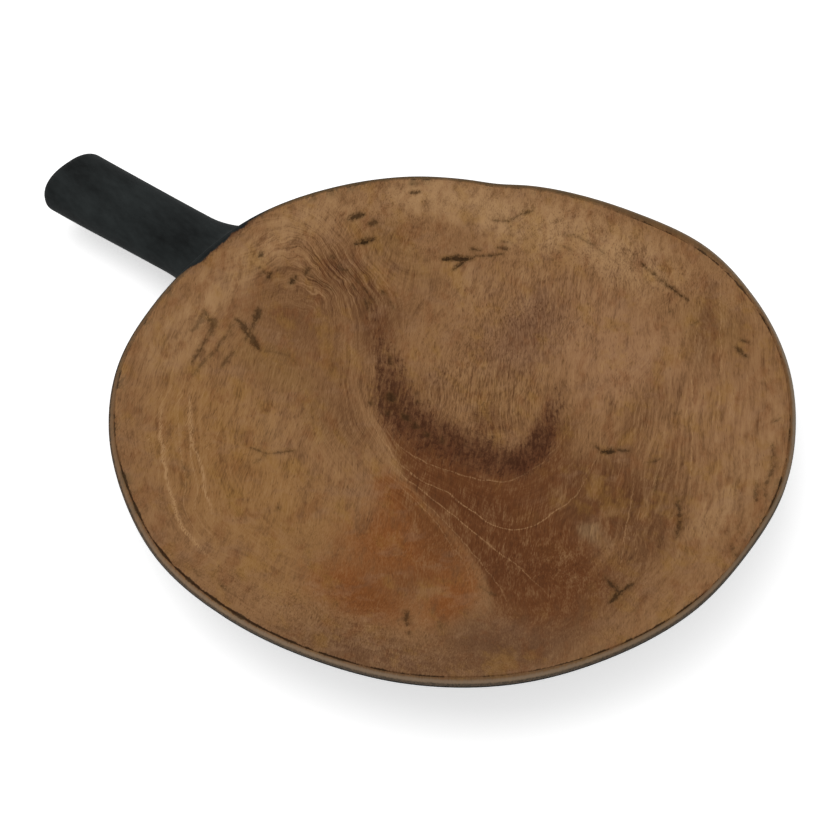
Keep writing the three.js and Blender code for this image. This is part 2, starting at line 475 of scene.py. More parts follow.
def ease_root(mesh):
    """Rounds the corner where the neck leaves the wall, as a gouge and rasp leave it."""
    reach = 9
    half_span = 50
    joint_room = 2
    passes = 40
    pull = 0.5
    corner_angle = math.radians(20)
    work = bmesh.new()
    work.from_mesh(mesh)
    corner = []
    for edge in work.edges:
        middle = (edge.verts[0].co + edge.verts[1].co) / (2 * MM)
        near_neck = (JOINT_X + joint_room + 1 < middle.x < NECK_ROOT_X
                     and abs(middle.y - GRIP_Y) < half_span and middle.z < RIM_HEIGHT - LIP_ROUNDING)
        if near_neck and edge.calc_face_angle(0) > corner_angle:
            corner.append(middle)
    work.free()
    tree = kdtree.KDTree(len(corner))
    for index, place in enumerate(corner):
        tree.insert(place, index)
    tree.balance()
    points = mesh_points(mesh)
    x, y, z = points.T
    ease = np.zeros(len(points))
    inside = ((x < NECK_ROOT_X + reach) & (x > JOINT_X + joint_room)
              & (np.abs(y - GRIP_Y) < half_span + reach) & (z < RIM_HEIGHT - LIP_ROUNDING))
    for index in np.nonzero(inside)[0]:
        distance = tree.find(Vector(points[index]))[2]
        ease[index] = 1 - distance / reach
    ease = smooth_step(0, 1, ease)
    edges = mesh_edges(mesh)
    edges = edges[(ease[edges] > 0).any(axis=1)]
    for _ in range(passes):
        total = np.zeros_like(points)
        count = np.zeros(len(points))
        for a, b in ((0, 1), (1, 0)):
            np.add.at(total, edges[:, a], points[edges[:, b]])
            np.add.at(count, edges[:, a], 1)
        moved = total / np.maximum(count, 1)[:, None] - points
        points += moved * (ease * (count > 0) * pull)[:, None]
    set_mesh_points(mesh, points)


def build_dish():
    points, faces = skin(dish_rings(), (0, 0, 0), (0, 0, FLOOR_THICKNESS))
    dish = make_object("dish", points, faces)
    boolean(dish, neck(), "UNION")
    ease_root(dish.data)
    for y in DOWEL_ROWS:
        boolean(dish, dowel_hole(y), "DIFFERENCE")
    return dish


# Handle


def build_handle():
    """The separate black grip, with its tip rounded over."""
    rings = []
    start_x = JOINT_X - HAIRLINE
    round_x = TIP_X + TIP_ROUNDING
    body_steps = round((start_x - round_x) / BAR_STEP)
    for step in range(body_steps + 1):
        x = start_x + (round_x - start_x) * step / body_steps
        rings.append(bar_ring(x, *grip_half_sizes(x)))
    round_steps = 10
    tip_shrink = 0.22
    for step in range(1, round_steps + 1):
        turn = math.pi / 2 * step / round_steps
        x = round_x - (TIP_ROUNDING - TIP_CROWN) * math.sin(turn)
        shrink = 1 - tip_shrink * (1 - math.cos(turn))
        half_width, half_height = (size * shrink for size in grip_half_sizes(x))
        rings.append(bar_ring(x, half_width, half_height))
    face_steps = 6
    face_x = x
    for step in range(1, face_steps):
        share = 1 - step / face_steps
        x = face_x - TIP_CROWN * (1 - share**2)
        rings.append(bar_ring(x, half_width * share, half_height * share))
    points, faces = skin(rings, (start_x, GRIP_Y, GRIP_Z), (TIP_X, GRIP_Y, GRIP_Z))
    handle = make_object("handle_grip", points, faces)
    for y in DOWEL_ROWS:
        boolean(handle, dowel_hole(y), "DIFFERENCE")
    return handle


# The wood's figure: growth rings

# Places on a growth ring, with its number. The rings flow round the dark horseshoe and round the
# swirl on the left, and the numbers in between follow a smooth sheet through these places.
GROWTH_RINGS = [
    (0, [(-20, 150), (-20, 100), (-15, 60), (-5, 35), (5, 60), (0, 110)]),
    (10, [(-52, 150), (-55, 110), (-52, 70), (-42, 30), (-30, 8), (-5, 0), (20, 5), (36, 25),
          (30, 60), (18, 100), (12, 150)]),
    (10, [(-150, 130), (-115, 110), (-100, 120), (-105, 160)]),
    (16, [(-165, 100), (-130, 90), (-100, 82), (-76, 70), (-68, 90), (-80, 130), (-70, 165)]),
    (20, [(-150, 78), (-128, 68), (-105, 60), (-85, 46), (-66, 28), (-52, 8), (-38, -10), (-12, -20),
          (20, -20), (46, -14), (57, 4), (58, 30), (52, 62), (44, 100), (38, 150), (34, 190)]),
    (24, [(-170, 66), (-150, 66), (-125, 58), (-100, 48), (-78, 30), (-60, 8), (-45, -14),
          (-15, -30), (20, -30), (55, -26), (70, -8), (73, 25), (70, 65), (62, 110), (52, 160)]),
    (28, [(-8, -41), (10, -44), (25, -42), (44, -45), (60, -48), (74, -45), (82, -37), (86, -22),
          (90, -4), (88, 12), (84, 30), (79, 48), (66, 90), (44, 150)]),
    (28, [(-178, 30), (-172, 56), (-155, 62), (-125, 50), (-105, 38), (-85, 18), (-68, -6),
          (-50, -20), (-32, -30)]),
    (30.5, [(19, -50), (36, -54), (58, -59), (77, -63), (92, -66), (107, -68), (116, -50), (118, -20),
            (108, 20), (94, 60), (76, 110), (56, 160)]),
    (33, [(-172, -10), (-160, 30), (-144, 40), (-125, 41), (-108, 28), (-90, 5), (-72, -20),
          (-52, -42), (-9, -56), (11, -57), (30, -65), (47, -72), (66, -80), (84, -93), (104, -116),
          (124, -146)]),
    (33, [(40, -172), (0, -168), (-44, -172), (-80, -157), (-112, -127), (-132, -107),
          (-155, -70), (-168, -40)]),
    (34, [(146, -76), (144, -44), (133, -10), (122, 30), (104, 72), (84, 118), (62, 170)]),
    (38, [(168, -76), (170, -30), (158, 20), (140, 60), (118, 104), (94, 150)]),
    (37, [(-150, -10), (-140, 15), (-125, 22), (-108, 8), (-90, -18), (-68, -42), (-40, -60),
          (0, -72), (30, -85), (62, -105), (60, -130), (20, -148), (-30, -152), (-74, -137),
          (-105, -110), (-129, -85), (-146, -50)]),
    (43, [(-128, -10), (-118, -14), (-100, -35), (-75, -60), (-40, -85), (0, -100), (20, -115),
          (-20, -128), (-70, -108), (-105, -75), (-124, -40)]),
    (42, [(190, -30), (184, 20), (164, 68), (142, 112), (118, 156)]),
    (22, [(-185, -70), (-165, -110), (-130, -145), (-90, -172), (-30, -188), (40, -185)]),
]
SHEET_UNIT = 100
SHEET_EASE = 0.006


def sheet_kernel(offsets):
    least = 1e-6
    squared = (offsets**2).sum(axis=-1)
    return 0.5 * squared * np.log(np.maximum(squared, least))


def growth_ring_numbers(x, y):
    """The ring number at each place: a thin-plate sheet through the named places."""
    knots = np.array([place for _, line in GROWTH_RINGS for place in line], float) / SHEET_UNIT
    numbers = np.array([number for number, line in GROWTH_RINGS for _ in line], float)
    count = len(knots)
    system = np.zeros((count + 3, count + 3))
    system[:count, :count] = sheet_kernel(knots[:, None] - knots[None]) + SHEET_EASE * np.eye(count)
    system[:count, count] = 1
    system[:count, count + 1:] = knots
    system[count:, :count] = system[:count, count:].T
    weights = np.linalg.solve(system, np.append(numbers, (0, 0, 0)))
    places = np.stack([x, y], axis=1) / SHEET_UNIT
    value = weights[count] + places @ weights[count + 1:]
    for knot, weight in zip(knots, weights):
        value += weight * sheet_kernel(places - knot)
    return value


# The wood's figure: tones

TAN = (145, 106, 70)

# Tones of the wood, laid over TAN in this order, with broad painted light and shade in them: lighter to the
# top and left, darker to the lower right. Each has soft patches: strength, the middle's x and y, half
# sizes, and a turn in degrees where there is one.
TONES = {
    "pale": ((172, 134, 94), [
        (0.9, -60, 156, 58, 19, 14), (0.6, 16, 168, 44, 24), (0.7, -122, 138, 42, 19, 42),
        (0.6, -174, 20, 16, 100, 2), (0.4, -158, 88, 16, 26, -20), (0.5, -156, -72, 17, 30),
        (0.3, -38, 134, 16, 22), (0.4, -60, 98, 14, 20), (0.35, 160, 80, 16, 44), (0.3, -20, 180, 60, 20),
        (0.7, -86, -80, 32, 20, -20), (0.5, 166, 20, 14, 44), (0.4, 40, 122, 30, 22),
        (0.3, 98, 82, 24, 22), (0.3, 158, -80, 16, 20), (0.25, -40, -160, 30, 14),
    ]),
    "pink": ((154, 114, 80), [
        (0.9, 50, 106, 52, 38), (0.5, 130, 92, 44, 44), (0.6, 60, 74, 16, 22), (0.2, 152, 40, 16, 40),
        (0.4, 10, 138, 40, 18),
    ]),
    "gold": ((150, 109, 66), [
        (0.8, -100, -100, 70, 46, -40), (0.8, -40, -120, 70, 46, -10), (0.5, -20, 152, 10, 24),
        (0.4, 0, -160, 60, 14),
    ]),
    "mauve": ((128, 92, 66), [
        (0.8, -7, 94, 27, 48, 10), (0.3, -25, 60, 40, 22),
    ]),
    "olive": ((132, 96, 58), [
        (0.6, -126, 92, 18, 24), (0.5, -100, 90, 36, 20, -10), (0.7, -118, -30, 34, 26),
        (0.5, -70, -42, 46, 18, -25), (0.8, 92, 148, 30, 22, -35), (0.4, 10, 40, 44, 30),
    ]),
    "umber": ((112, 76, 48), [
        (0.5, -138, 60, 18, 26), (0.8, -116, 58, 30, 14, -8), (0.9, -88, 41, 28, 16, -38),
        (0.6, -126, 26, 30, 34), (0.4, -100, 0, 44, 20), (0.8, 122, 14, 20, 46, 5), (0.4, 20, 22, 30, 14),
        (0.5, -30, 20, 24, 14, -20), (0.6, 140, -4, 18, 46, 5), (0.4, 156, -30, 24, 40),
        (0.4, -66, -22, 48, 16, -40), (0.4, -158, 20, 12, 20), (0.4, -80, 62, 20, 12, -30),
        (0.4, -82, 20, 22, 12, -40), (0.35, -56, -38, 44, 18, -20), (0.2, 0, -122, 60, 18),
        (0.7, 91, 138, 8, 46, 24), (0.35, -140, -6, 36, 24), (0.3, -82, 122, 20, 16),
        (0.35, -112, 50, 30, 16, -30), (0.3, 122, 122, 16, 16), (0.3, 4, 80, 20, 16),
        (0.3, 44, 40, 16, 16),
    ]),
    "orange": ((132, 79, 40), [
        (0.9, 30, -92, 38, 36), (0.9, 80, -110, 16, 26, 10), (0.6, 60, -90, 24, 20),
        (0.9, 38, -138, 38, 22), (0.3, -78, -108, 20, 14), (0.9, 6, -62, 26, 12, -20),
    ]),
    "burnt": ((112, 68, 36), [
        (0.5, 56, -110, 14, 20, 10), (0.6, 46, -80, 30, 14, -20), (0.6, 26, -66, 44, 8, -18),
        (0.4, 46, -136, 20, 12), (0.3, 40, -118, 20, 14),
    ]),
    "rust": ((106, 69, 42), [
        (1.0, 84, 0, 30, 34), (1.0, 106, -6, 32, 38), (0.5, 90, 60, 12, 60, 14), (0.7, 56, 36, 13, 22),
        (0.3, 120, 50, 20, 30), (0.4, 98, 88, 12, 22, 20),
    ]),
    "grey": ((112, 79, 54), [
        (1.0, 124, -118, 44, 34, 50), (0.8, 74, -172, 66, 20, 22), (0.5, 142, -66, 26, 34),
        (0.3, 50, -156, 44, 18, 10),
    ]),
    "dark": ((104, 62, 34), [
        (1.0, 26, -38, 84, 36, -10), (1.0, 78, -62, 78, 38, -14), (1.0, 102, -62, 44, 44, -20),
        (0.7, 60, -4, 20, 40),
    ]),
    "deep": ((97, 57, 32), [
        (0.5, 92, -66, 38, 22), (0.6, 48, -40, 30, 12), (0.4, 82, -80, 22, 14, -20),
    ]),
    # Painted highlights: greyish pale spots on the dark wood that stand in for glints of light off the
    # surface.
    "painted_highlight": ((128, 97, 68), [
        (0.9, 112, -22, 10, 8), (0.6, 122, -28, 7, 6), (0.4, 138, 12, 5, 9, 20),
    ]),
}


def soft_ellipse(x, y, middle_x, middle_y, half_length, half_width, turn=0):
    """1 in the middle of an ellipse, fading out across its edge."""
    steepness = 1.3
    angle = math.radians(turn)
    across = x - middle_x
    along = y - middle_y
    u = (across * math.cos(angle) + along * math.sin(angle)) / half_length
    v = (along * math.cos(angle) - across * math.sin(angle)) / half_width
    return np.exp(-steepness * (u**2 + v**2) ** steepness)


# The dark wood ends along this line and lies on its left, seen along the line.
DARK_EDGE = [
    (-85, 14), (-62, -6), (-42, -22), (-22, -33), (0, -48), (25, -58), (59, -70), (80, -81), (98, -98),
    (112, -126),
]
DARK_TONES = ("dark", "deep")
DARK_EDGE_SOFTNESS = 3.5


def tone_cover(x, y, name):
    """How much of one tone shows at each place."""
    bare = np.ones_like(x)
    for strength, *ellipse in TONES[name][1]:
        bare *= 1 - strength * soft_ellipse(x, y, *ellipse)
    cover = 1 - bare
    if name in DARK_TONES:
        cover *= smooth_step(-DARK_EDGE_SOFTNESS, DARK_EDGE_SOFTNESS, side_distance(x, y, DARK_EDGE))
    return cover


def side_distance(x, y, line):
    """How far each place is to the left of a line of places, and negative to its right."""
    nearest = np.full(len(x), np.inf)
    for start, end in zip(line, line[1:]):
        distance, _ = line_distance(x, y, [start, end])
        leftward = (end[0] - start[0]) * (y - start[1]) - (end[1] - start[1]) * (x - start[0])
        nearest = np.where(distance < np.abs(nearest), np.copysign(distance, leftward), nearest)
    return nearest


# The wood's figure: the dark horseshoe, the pores and the pale rings


def strongest(x, y, patches):
    """The strongest of some soft patches at each place."""
    value = np.zeros_like(x)
    for strength, *ellipse in patches:
        value = np.maximum(value, strength * soft_ellipse(x, y, *ellipse))
    return value


# The dark horseshoe's middle line: place, half width and strength.
HORSESHOE_LINE = [
    (-150, 57, 6, 0.1), (-124, 58, 8, 0.15), (-105, 50, 10, 0.25), (-90, 40, 11, 0.3), (-76, 28, 10, 0.4),
    (-62, 18, 12, 0.7), (-52, 6, 15, 0.9), (-42, -4, 16, 1), (-25, -9, 18, 0.9), (-5, -10, 19, 0.85),
    (15, -8, 19, 0.8), (34, -4, 17, 0.85), (47, 0, 14, 1), (50, 14, 12, 1), (47, 30, 10, 0.9),
    (42, 46, 8, 0.65), (36, 62, 7, 0.35), (31, 76, 6, 0.1),
]
HORSESHOE_WEDGE = [(2, 36, 6, 0.2), (10, 20, 11, 0.4), (18, 4, 13, 0.5)]
# Thin pale lines along the growth rings: half width, and places that each have a strength.
PALE_LINES = [
    (0.7, [(-50, -20, 0.4), (-32, -30, 0.7), (-8, -41, 0.8), (10, -44, 0.8), (25, -42, 0.8), (44, -45, 1),
           (60, -48, 1), (74, -45, 1), (82, -37, 1), (86, -22, 0.9), (90, -4, 0.8), (88, 10, 0.6),
           (84, 30, 0.4), (79, 48, 0.1)]),
    (0.7, [(-22, -38, 0.3), (-6, -46, 0.6), (19, -50, 0.7), (36, -54, 0.8), (58, -59, 0.9), (77, -63, 0.8),
           (92, -66, 0.6), (107, -72, 0.5), (120, -77, 0.2)]),
    (0.7, [(12, -53, 0.2), (34, -60, 0.5), (56, -68, 0.5), (78, -77, 0.5), (96, -87, 0.4),
           (110, -100, 0.1)]),
    (0.7, [(-8, -53, 0.2), (14, -57, 0.5), (32, -64, 0.5), (52, -73, 0.4), (70, -83, 0.3), (86, -98, 0.2)]),
    (0.7, [(-34, -24, 0.1), (-18, -30, 0.5), (0, -31, 0.6), (20, -28, 0.6), (38, -22, 0.8), (52, -13, 0.8),
           (58, 4, 0.6), (60, 22, 0.4), (58, 44, 0.2)]),
    (0.7, [(112, 24, 0.3), (121, 6, 0.7), (133, -22, 0.6), (139, -36, 0.5), (145, -48, 0.2)]),
    (0.7, [(67, 180, 0.1), (81, 148, 0.4), (98, 113, 0.7), (118, 79, 0.8), (137, 44, 0.7),
           (152, 16, 0.1)]),
    (0.7, [(74, 186, 0.1), (94, 153, 0.6), (115, 116, 0.7), (134, 80, 0.5), (152, 46, 0.1)]),
    (2.0, [(-140, -101, 0.4), (-121, -121, 1.3), (-104, -136, 1.4), (-85, -151, 1.4), (-65, -164, 1.5),
           (-52, -169, 1.5), (-36, -172, 0.4)]),
    (1.8, [(-134, -84, 0.3), (-120, -97, 1.3), (-105, -112, 1.4), (-89, -123, 1.4), (-73, -136, 1.5),
           (-59, -146, 0.4)]),
]


def smooth_line(line):
    """A finer run of places that curves smoothly through the given ones."""
    steps = 4
    places = np.array(line, float)
    run = np.vstack([2 * places[0] - places[1], places, 2 * places[-1] - places[-2]])
    finer = []
    for around in zip(run, run[1:], run[2:], run[3:]):
        finer += [smooth_between(*around, t) for t in np.arange(steps) / steps]
    return finer + [places[-1]]


def pale_line_fields(x, y, line):
    """How far each place is to the left of a pale line, and the line's strength there."""
    reach = 5
    finer = smooth_line(line)
    offset = np.full(len(x), float(reach))
    strength = np.zeros(len(x))
    places = [tuple(place[:2]) for place in finer]
    near = near_line(x, y, places, reach)
    offset[near] = np.clip(side_distance(x[near], y[near], places), -reach, reach)
    wide = [(*place[:2], reach, place[2]) for place in finer]
    strength[near] = soft_line(x[near], y[near], wide)
    return offset, strength


def soft_line(x, y, line):
    """A soft band along a line of places that each have a half width and a strength."""
    fade_start = 0.2
    fade_end = 1.4
    value = np.zeros_like(x)
    for (x0, y0, width0, strength0), (x1, y1, width1, strength1) in zip(line, line[1:]):
        distance, share = line_distance(x, y, [(x0, y0), (x1, y1)])
        width = width0 + (width1 - width0) * share
        strength = strength0 + (strength1 - strength0) * share
        value = np.maximum(value, strength * (1 - smooth_step(fade_start, fade_end, distance / width)))
    return value


# Soft patches where each of these shows most: open pores, lines along the growth rings, calm wood with
# hardly a line, pale rings, waves in the rings and pale scratches.
PATCHES = {
    "pores": [
        (1.0, 0, 32, 52, 58), (0.8, -15, 105, 55, 60), (0.3, 70, 60, 60, 90), (0.1, 130, 0, 50, 90),
        (0.5, 90, -50, 70, 40), (0.4, -130, 100, 70, 50), (0.3, -60, -60, 120, 80),
        (0.6, 10, 165, 110, 28), (0.5, 60, -165, 90, 26, 10),
    ],
    "ring_lines": [
        (1.0, -135, 52, 54, 30), (0.7, -62, -4, 62, 22, -42), (0.4, -110, -100, 70, 50, -45),
        (0.3, 50, -55, 70, 20, -8), (0.8, 125, 50, 44, 120, 20),
    ],
    "calm": [
        (1.0, 36, -104, 50, 34), (0.8, -120, -10, 34, 26), (0.7, 76, -62, 50, 24),
    ],
    "pale_rings": [
        (1.0, -100, -125, 60, 26, -45), (0.7, -60, -165, 40, 14, -12), (0.5, -50, -26, 30, 9, -35),
    ],
    "waviness": [
        (1.0, -142, 46, 48, 42),
    ],
    "scratches": [
        (1.0, 118, 60, 44, 110, 10), (0.5, 145, -30, 30, 50), (0.7, -110, -110, 60, 40, -45),
        (0.4, -150, -20, 40, 60),
    ],
}


# The wood's figure: knots, checks and cracks

# Dark marks: width at the middle, darkness, then x and y of the places along each.
MARKS = [
    (4.5, 1.0, -85, 106, -80, 111, -74, 115, -70, 119), (2.2, 0.9, -73, 113, -75, 104),
    (1.6, 0.8, -75, 124, -69, 126), (1.0, 0.8, -69, 121, -61, 127, -55, 133),
    (2.0, 0.7, -61, 134, -54, 137), (1.4, 0.5, -61, 139, -55, 142),
    (1.0, 0.7, -75, 148, -70, 151, -65, 154, -64, 159, -61, 164, -57, 169),
    (1.8, 0.8, -132, 132, -127, 137), (1.2, 0.6, -136, 137, -132, 140),
    (4.6, 0.85, -152, 90, -149, 96, -146, 101), (3.8, 0.7, -140, 96, -136, 102),
    (3.8, 1.0, -137, 79, -133, 85, -130, 90), (3.0, 0.8, -174, 31, -174, 26),
    (1.4, 0.4, -170, 27, -170, 25), (2.0, 0.5, -169, 21, -168, 19), (2.4, 0.6, -165, 21, -165, 17),
    (3.0, 0.8, -161, 23, -160, 18), (2.2, 0.5, -160, 30, -160, 27), (3.2, 0.9, -149, 33, -148, 26),
    (3.0, 0.6, -147, 44, -145, 38), (1.4, 0.35, -145, 41, -138, 40, -133, 41, -125, 41),
    (2.4, 0.5, -143, 61, -139, 61), (3.0, 0.5, -137, 59, -131, 58, -128, 60),
    (2.4, 0.7, -101, 62, -98, 61), (2.2, 0.45, -119, 53, -115, 51), (2.4, 0.5, -106, 50, -99, 44),
    (2.2, 0.4, -94, 59, -86, 56), (5.0, 0.7, -149, -4, -146, -8, -144, -13),
    (2.6, 0.6, -144, -14, -141, -21, -138, -29), (4.4, 0.7, -152, -21, -147, -21, -142, -24, -138, -25),
    (2.2, 0.35, -150, -22, -151, -28, -148, -34), (4.4, 0.7, -138, -22, -134, -26, -127, -28),
    (2.0, 0.25, -127, -28, -120, -22, -112, -18, -104, -20),
    (4.4, 0.55, -169, -31, -164, -34, -160, -33, -157, -38, -154, -44),
    (2.2, 0.6, -156, -40, -153, -49, -150, -57, -147, -67), (3.6, 0.4, -168, -32, -165, -40, -163, -49),
    (2.0, 0.5, -148, -32, -147, -40, -144, -50, -143, -60, -140, -74),
    (2.2, 0.5, -136, -41, -136, -47, -133, -57), (1.2, 0.6, -80, -91, -70, -87, -65, -80, -61, -74),
    (0.9, 0.4, -70, -87, -70, -98), (1.6, 0.6, -39, -114, -37, -116),
    (2.6, 0.7, 66, -131, 70, -136, 73, -140), (1.4, 0.5, 77, -143, 79, -145),
    (1.2, 0.4, 86, -92, 97, -93), (2.6, 0.8, 138, -49, 145, -53, 153, -57),
    (2.6, 0.9, 153, -46, 151, -55, 151, -66), (1.8, 0.7, 140, 24, 147, 14, 153, 3, 156, -5),
    (1.8, 0.6, 78, 37, 84, 35), (4.6, 0.95, 84, 35, 91, 39), (2.2, 0.7, 90, 40, 98, 43),
    (1.2, 0.5, 112, 40, 117, 45), (1.0, 0.9, 27, 171, 48, 165, 68, 159), (1.8, 0.5, 61, 146, 63, 150),
    (1.8, 0.6, 111, 145, 119, 144), (2.2, 0.8, 112, 139, 122, 134), (1.6, 0.6, 160, 93, 163, 97),
    (1.6, 0.6, 168, 79, 177, 64, 180, 49, 184, 40), (1.2, 0.6, 174, 50, 181, 36),
    (1.2, 0.5, 185, 0, 193, -8), (1.0, 0.4, 122, 35, 128, 20), (2.0, 0.7, -30, 5, -29, 7),
    (1.2, 0.5, -139, 61, -120, 58, -99, 52), (1.2, 0.4, -30, 165, -22, 168, -8, 168, 2, 166),
    (1.6, 0.3, -26, 158, -17, 158), (1.4, 0.4, 79, 144, 82, 150), (1.4, 0.4, 105, 80, 109, 81),
    (1.2, 0.5, -96, -130, -92, -132), (1.2, 0.5, -90, -131, -86, -136), (1.2, 0.4, -87, -139, -83, -143),
    (1.4, 0.5, -35, -185, -28, -187), (1.4, 0.6, -16, -184, -9, -184), (1.2, 0.4, 25, -186, 32, -184),
    (5.0, 0.7, -48, 0, -42, -4), (4.0, 0.7, -31, -8, -25, -10), (3.0, 0.6, -40, -13, -37, -14),
    (3.0, 0.6, -21, -10, -17, -12), (2.6, 0.6, -12, -12, -8, -13), (2.6, 0.5, -53, -13, -50, -15),
    (2.6, 0.5, -2, -9, 3, -12), (2.4, 0.5, -66, 24, -61, 19), (2.4, 0.4, -36, 12, -34, 9),
]
MARK_REACH = 3
MARK_END_WIDTH = 0.3


def mark_fields(x, y):
    """How far each place is outside the nearest dark mark, and how dark that mark is."""
    outside = np.full(len(x), float(MARK_REACH))
    darkness = np.zeros(len(x))
    for width, dark, *numbers in MARKS:
        line = list(zip(numbers[::2], numbers[1::2]))
        near = near_line(x, y, line, MARK_REACH + width)
        distance, along = line_distance(x[near], y[near], line)
        taper = MARK_END_WIDTH + (1 - MARK_END_WIDTH) * np.sin(math.pi * along) ** 0.7
        here = distance - width / 2 * taper
        nearer = here < outside[near]
        outside[near] = np.where(nearer, here, outside[near])
        darkness[near] = np.where(nearer, dark, darkness[near])
    return outside, darkness


def refine_marks(mesh):
    """Splits the faces under the dark marks, so that their edges are crisp and can be cut in."""
    for reach in (1.6, 0.8):
        points = mesh_points(mesh)
        outside, _ = mark_fields(points[:, 0], points[:, 1])
        close = (outside < reach) & ~outer_side(points)
        edges = mesh_edges(mesh)
        chosen = close[edges].all(axis=1)
        work = bmesh.new()
        work.from_mesh(mesh)
        work.edges.ensure_lookup_table()
        picked = [work.edges[int(k)] for k in np.nonzero(chosen)[0]]
        bmesh.ops.subdivide_edges(work, edges=picked, cuts=1, use_grid_fill=True)
        work.to_mesh(mesh)
        work.free()
        mesh.update()


def outer_side(points):
    """True on the wall, the foot and the neck, and false on the lip and in the well."""
    x, y, z = points.T
    radius = turned_radius(x, y)
    middle = (well_height(np.minimum(radius, WELL_RADIUS), np.arctan2(y, x)) + wall_height(radius)) / 2
    slack = 0.05
    return (z < middle) | (radius > RIM_RADIUS + slack)


# Hand work: the surfaces' gentle unevenness, and how deep the marks are cut

WELL_WAVES = (92, 61, 47, 38)
WELL_UNEVENNESS = 0.35
WALL_WAVES = (31, 26, 41)
WALL_UNEVENNESS = 0.25
MARK_DEPTH = 0.6


def gentle_waves(x, y, lengths, seed_angle):
    """A smooth uneven sheet between about -1 and 1, from crossing waves of these lengths."""
    value = np.zeros_like(x)
    golden_angle = math.radians(137.5)
    bend_size = 0.6
    bend_stretch = 1.7
    phase_step = 2.1
    gain = 1.6
    for index, length in enumerate(lengths):
        angle = seed_angle + index * golden_angle
        travel = x * math.cos(angle) + y * math.sin(angle)
        cross = y * math.cos(angle) - x * math.sin(angle)
        bend = bend_size * np.sin(cross * 2 * math.pi / (length * bend_stretch) + index)
        value += np.sin(travel * 2 * math.pi / length + bend + index * phase_step)
    return value / len(lengths) * gain


def work_surfaces(mesh):
    """Cuts the marks in and leaves the well and wall as gouge, scraper and sandpaper leave them."""
    settle_start = WELL_RADIUS - 14
    settle_end = WELL_RADIUS - 2
    facets_start = 2
    facets_end = 10
    points = mesh_points(mesh)
    x, y, z = points.T
    radius = turned_radius(x, y)
    outer = outer_side(points)
    outside, darkness = mark_fields(x, y)
    well = ~outer & (radius < WELL_RADIUS)
    settle = 1 - smooth_step(settle_start, settle_end, radius)
    unevenness = WELL_UNEVENNESS * gentle_waves(x, y, WELL_WAVES, 0.4)
    cut = MARK_DEPTH * darkness * (1 - smooth_step(-0.5, 0.2, outside))
    z = np.where(well, z + unevenness * settle - cut, z)
    wall = outer & (radius < RIM_RADIUS - 3) & (z > FOOT_ROUNDING + 1) & (x > NECK_ROOT_X)
    facets = WALL_UNEVENNESS * (gentle_waves(x, y, WALL_WAVES, 1.1) + 1)
    z = np.where(wall, z + facets * smooth_step(facets_start, facets_end, z), z)
    points[:, 2] = z
    set_mesh_points(mesh, points)


# Fields that the materials read, one value for each point of the mesh

# How far the black stain laps over the rim's edge, in millimetres, every 45 degrees from +X.
RIM_STAIN = [0.2, 0, 0.3, 0.9, 1.3, 1.0, 0.1, 0.1]
# How far down the lip's upright face stays bare, every 45 degrees from +X.
BARE_FACE = [3.5, 3.6, 2.5, 1.9, 1.9, 2.3, 3.6, 3.5]
# Shades that run round the rim in even steps from +X: how dark and wide the crease looks, how grimy the
# lip is outside it, how much painted shade darkens the well's edge inside it, and how rubbed and pale the
# lip's edge is.
RIM_SHADES = {
    "crease_shade": [0.4, 0.45, 0.4, 0.45, 0.5, 0.5, 0.35, 0.2, 0.2, 0.1, 0.1, 0,
                     0, 0.1, 0.3, 0.45, 0.6, 1.1, 1.3, 0.9, 0.5, 0.35, 0.65, 0.7],
    "lip_grime": [0.8, 0.6, 0.8, 1.1, 0.9, 0.5, 0.35, 0.5],
    "well_edge_shade": [0.8, 0.3, 0.4, 0.9, 0.7, 0.9, 0.4, 0.3],
    "lip_wear": [0.5, 1.0, 0.5, 0.1, 0.1, 0.2, 0.6, 0.6],
}
HANDLE_LAP_HALF_WIDTH = 34
HANDLE_LAP = 2.4
STAIN_REACH = 4


def handle_lap(x, y):
    """1 where the handle meets the rim and its stain runs over the lip."""
    return np.exp(-(((y - GRIP_Y) / HANDLE_LAP_HALF_WIDTH) ** 4)) * (x < 0)


def stain_distance(points):
    """How far past the edge of the black stain a place is: positive on the black side."""
    x, y, z = points.T
    angle = np.arctan2(y, x)
    stain_radius = RIM_RADIUS - closed_curve(RIM_STAIN, angle)
    edge_height = RIM_HEIGHT - closed_curve(BARE_FACE, angle)
    rim = np.minimum(turned_radius(x, y) - stain_radius, 0) + np.maximum(edge_height - z, 0)
    well_side = np.minimum(rim + HANDLE_LAP * handle_lap(x, y), STAIN_REACH)
    return np.where(outer_side(points) & (z <= WALL_TOP), STAIN_REACH, well_side)


def write_fields(mesh):
    points = mesh_points(mesh)
    x, y, _ = points.T
    angle = np.arctan2(y, x)
    reach = 6
    least_lines = 0.3
    calming = 0.5
    fields = {name: strongest(x, y, patches) for name, patches in PATCHES.items()}
    ring_lines = least_lines + (1 - least_lines) * fields["ring_lines"] - calming * fields.pop("calm")
    fields["ring_lines"] = np.maximum(ring_lines, 0)
    fields["ring"] = growth_ring_numbers(x, y)
    fields["horseshoe"] = np.maximum(soft_line(x, y, HORSESHOE_LINE), soft_line(x, y, HORSESHOE_WEDGE))
    fields["mark_outside"], fields["mark_darkness"] = mark_fields(x, y)
    fields["crease_offset"] = np.clip(turned_radius(x, y) - crease_radius(angle), -reach, reach)
    fields["handle_lap"] = handle_lap(x, y)
    fields["stain"] = stain_distance(points)
    for name in TONES:
        fields[f"tone_{name}"] = tone_cover(x, y, name)
    for name, values in RIM_SHADES.items():
        fields[name] = closed_curve(values, angle)
    for index, (_, line) in enumerate(PALE_LINES):
        fields[f"pale_line_{index}"], fields[f"pale_strength_{index}"] = pale_line_fields(x, y, line)
    for name, values in fields.items():
        attribute = mesh.attributes.new(name, "FLOAT", "POINT")
        attribute.data.foreach_set("value", values.astype(np.float32))


# Materials

NOISE_LOW = 0.3
NOISE_HIGH = 0.7


